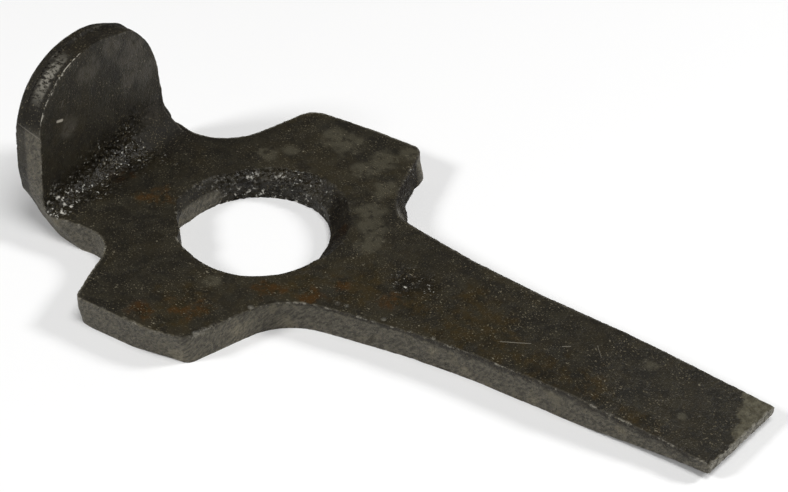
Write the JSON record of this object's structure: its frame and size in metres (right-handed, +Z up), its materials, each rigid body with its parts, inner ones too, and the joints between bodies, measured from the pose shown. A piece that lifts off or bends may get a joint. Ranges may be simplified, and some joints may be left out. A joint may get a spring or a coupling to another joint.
{
  "type": "rock hammer head",
  "caption": "Forged rock hammer head: flat plate with a round handle eye and side lugs, a striking poll turned up square at one end and a long thinning blade at the other.",
  "frame": {"origin": "centre of the handle eye on the underside of the plate", "axes": "+X from the eye towards the blade's cutting edge, +Z up through the eye, towards the side on which the poll stands"},
  "size_m": [0.1765, 0.0894, 0.0421],
  "materials": {
    "body_iron": "dark grey-brown mill scale, forged and pitted, with worn edges and small patches of rust",
    "face_steel": "dark scaled steel, battered and worn bright round its spread rim",
    "bit_steel": "scaled steel, worn bare and scratched over the last few millimetres behind the edge"
  },
  "bodies": {
    "root": {"head_body": "body_iron", "poll_face": "face_steel", "blade_bit": "bit_steel"}
  },
  "joints": []
}
